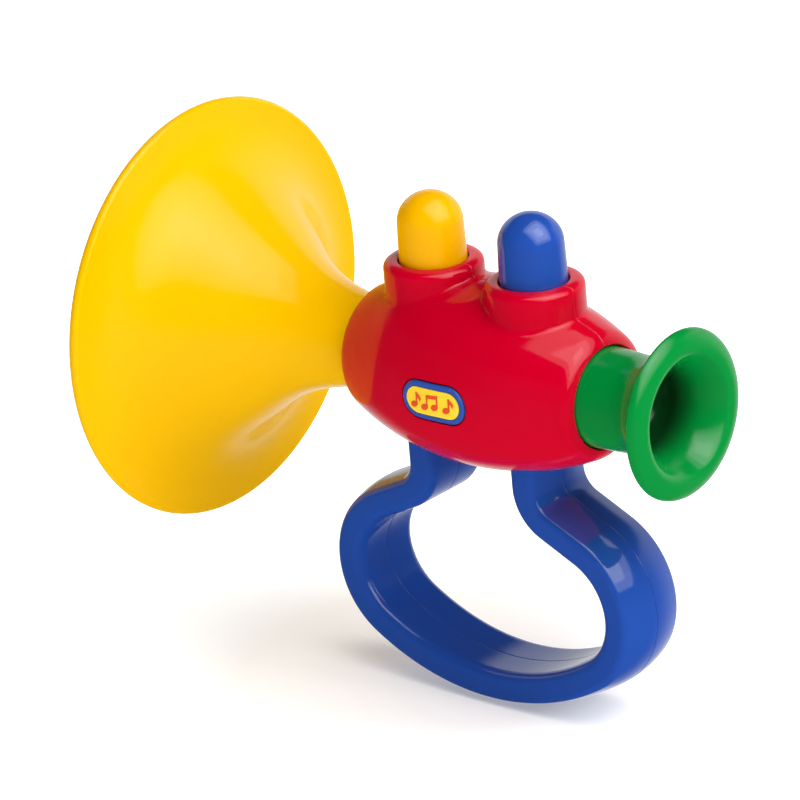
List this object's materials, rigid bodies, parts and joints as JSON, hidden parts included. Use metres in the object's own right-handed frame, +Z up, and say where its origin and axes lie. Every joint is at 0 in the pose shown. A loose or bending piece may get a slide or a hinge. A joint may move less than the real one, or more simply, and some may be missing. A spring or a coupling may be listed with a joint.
{
  "type": "toy trumpet",
  "caption": "Toy trumpet with a flared bell, a barrel body with spring buttons, a cupped mouthpiece and a closed loop grip below.",
  "frame": {"origin": "on the floor under the middle of the toy's length and width, where the bottom of the loop grip stands", "axes": "+X along the bore towards the mouthpiece, bell towards -X; +Z up, towards the buttons; badge on the -Y side"},
  "size_m": [0.1724, 0.12, 0.1564],
  "materials": {
    "yellow_plastic": "gloss moulded",
    "red_plastic": "gloss moulded",
    "blue_plastic": "gloss moulded",
    "green_plastic": "gloss moulded",
    "badge_print": "gloss, blue border round a yellow field",
    "natural_plastic": "plain moulded",
    "dark_rubber": "soft matt",
    "reed_brass": "plain",
    "spring_steel": "zinc plated"
  },
  "bodies": {
    "trumpet": {"bell": "yellow_plastic", "mouthpiece": "green_plastic", "body_shell_near": "red_plastic", "body_shell_far": "red_plastic", "badge": "badge_print", "grip_shell_near": "blue_plastic", "grip_shell_far": "blue_plastic", "reed_box": "natural_plastic", "reed_box_lid": "natural_plastic", "mouth_seal": "dark_rubber", "button_spring_bell_side": "spring_steel", "button_spring_mouth_side": "spring_steel", "reed_plate_bell_side": "reed_brass", "reed_plate_mouth_side": "reed_brass", "reed_tongue_bell_side": "reed_brass", "reed_tongue_mouth_side": "reed_brass", "reed_rivet_bell_side": "reed_brass", "reed_rivet_mouth_side": "reed_brass", "body_screw_1": "spring_steel", "body_screw_2": "spring_steel", "body_screw_3": "spring_steel"},
    "button_bell_side": {"button_bell_side": "yellow_plastic", "plunger_bell_side": "natural_plastic", "valve_pad_bell_side": "dark_rubber"},
    "button_mouth_side": {"button_mouth_side": "blue_plastic", "plunger_mouth_side": "natural_plastic", "valve_pad_mouth_side": "dark_rubber"}
  },
  "joints": [
    {"name": "bell_side_press", "type": "slide", "parent": "trumpet", "child": "button_bell_side", "axis": [0, 0, -1], "range_m": [0, 0.007], "stiffness_N_per_m": 250, "springref_m": -0.004, "deforming": ["button_spring_bell_side"]},
    {"name": "mouth_side_press", "type": "slide", "parent": "trumpet", "child": "button_mouth_side", "axis": [0, 0, -1], "range_m": [0, 0.007], "stiffness_N_per_m": 250, "springref_m": -0.004, "deforming": ["button_spring_mouth_side"]}
  ]
}
